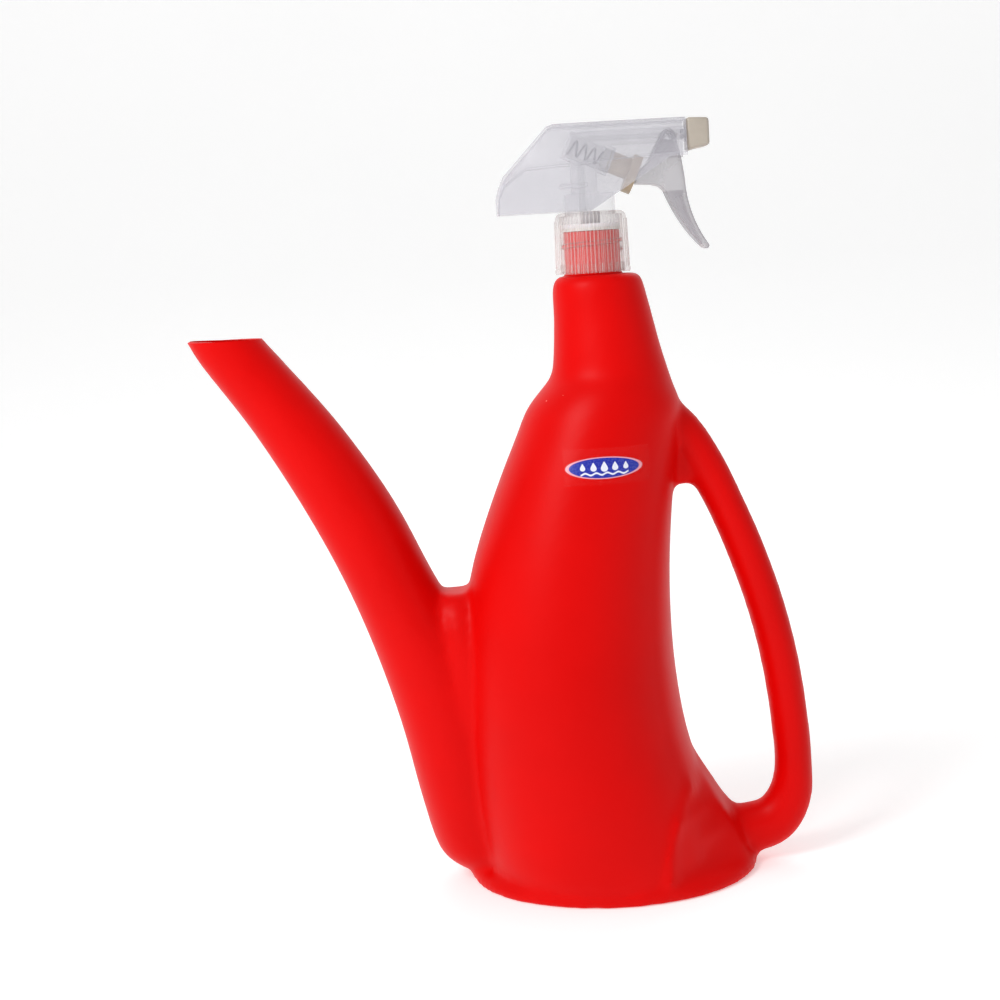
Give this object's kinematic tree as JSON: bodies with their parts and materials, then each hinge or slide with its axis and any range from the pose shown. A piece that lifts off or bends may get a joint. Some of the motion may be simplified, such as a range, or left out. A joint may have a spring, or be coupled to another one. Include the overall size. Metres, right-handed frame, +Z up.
{
  "type": "watering can",
  "caption": "Blown plastic watering can with a long leaning spout, a looped rear handle and a trigger sprayer screwed on its filling neck.",
  "frame": {"origin": "centre of the foot on the floor, under the axis of the neck", "axes": "+Z up along the neck, +X towards the handle and the spray nozzle, spout towards -X, +Y to the left of a user who faces -X"},
  "size_m": [0.2751, 0.1248, 0.343],
  "materials": {
    "can_plastic": "satin blown polyethylene",
    "label_film": "clear film with a printed oval",
    "soft_seal": "soft translucent seal",
    "clear_plastic": "clear ribbed polypropylene",
    "milky_plastic": "milky polypropylene",
    "shroud_plastic": "milky translucent polypropylene",
    "trigger_plastic": "translucent polypropylene",
    "beige_plastic": "beige polypropylene",
    "nozzle_plastic": "cream translucent polypropylene",
    "tube_plastic": "translucent polyethylene tube",
    "steel": "drawn steel"
  },
  "bodies": {
    "can": {"can_body": "can_plastic", "label": "label_film"},
    "pump": {"pump_body": "milky_plastic", "shroud": "shroud_plastic", "valve_seat": "milky_plastic", "neck_washer": "soft_seal", "dip_tube": "tube_plastic", "spinner": "milky_plastic"},
    "cap": {"cap": "clear_plastic"},
    "trigger": {"trigger": "trigger_plastic"},
    "piston": {"piston": "beige_plastic", "piston_seal": "soft_seal", "vent_seal": "soft_seal", "return_spring": "steel"},
    "nozzle": {"nozzle": "nozzle_plastic", "nozzle_seal": "soft_seal"},
    "inlet_ball": {"inlet_ball": "steel"},
    "outlet_valve": {"outlet_valve": "soft_seal"}
  },
  "joints": [
    {"name": "pump_rise", "type": "slide", "parent": "can", "child": "pump", "axis": [0, 0, 1], "range_m": [0, 0.00705]},
    {"name": "cap_turn", "type": "hinge", "parent": "pump", "child": "cap", "pos_m": [0, 0, 0.29], "axis": [0, 0, 1], "range_deg": [0, 600]},
    {"name": "trigger_pull", "type": "hinge", "parent": "pump", "child": "trigger", "pos_m": [0.036, 0, 0.335], "axis": [0, 1, 0], "range_deg": [0, 20], "stiffness_Nm_per_rad": 1.2, "springref_deg": -14.32},
    {"name": "piston_slide", "type": "slide", "parent": "pump", "child": "piston", "axis": [-0.9135, 0, 0.4067], "range_m": [0, 0.0074], "deforming": ["return_spring"]},
    {"name": "nozzle_turn", "type": "hinge", "parent": "pump", "child": "nozzle", "pos_m": [0.05, 0, 0.336], "axis": [1, 0, 0], "continuous": true},
    {"name": "inlet_ball_lift", "type": "slide", "parent": "pump", "child": "inlet_ball", "axis": [0, 0, 1], "range_m": [0, 0.0012]},
    {"name": "outlet_valve_open", "type": "slide", "parent": "pump", "child": "outlet_valve", "axis": [1, 0, 0], "range_m": [0, 0.0005], "stiffness_N_per_m": 200, "springref_m": -0.001}
  ],
  "couplings": [
    {"joint": "cap_turn", "follows": "pump_rise", "rad_per_m": 1485.4},
    {"joint": "trigger_pull", "follows": "piston_slide", "rad_per_m": 47.17}
  ]
}
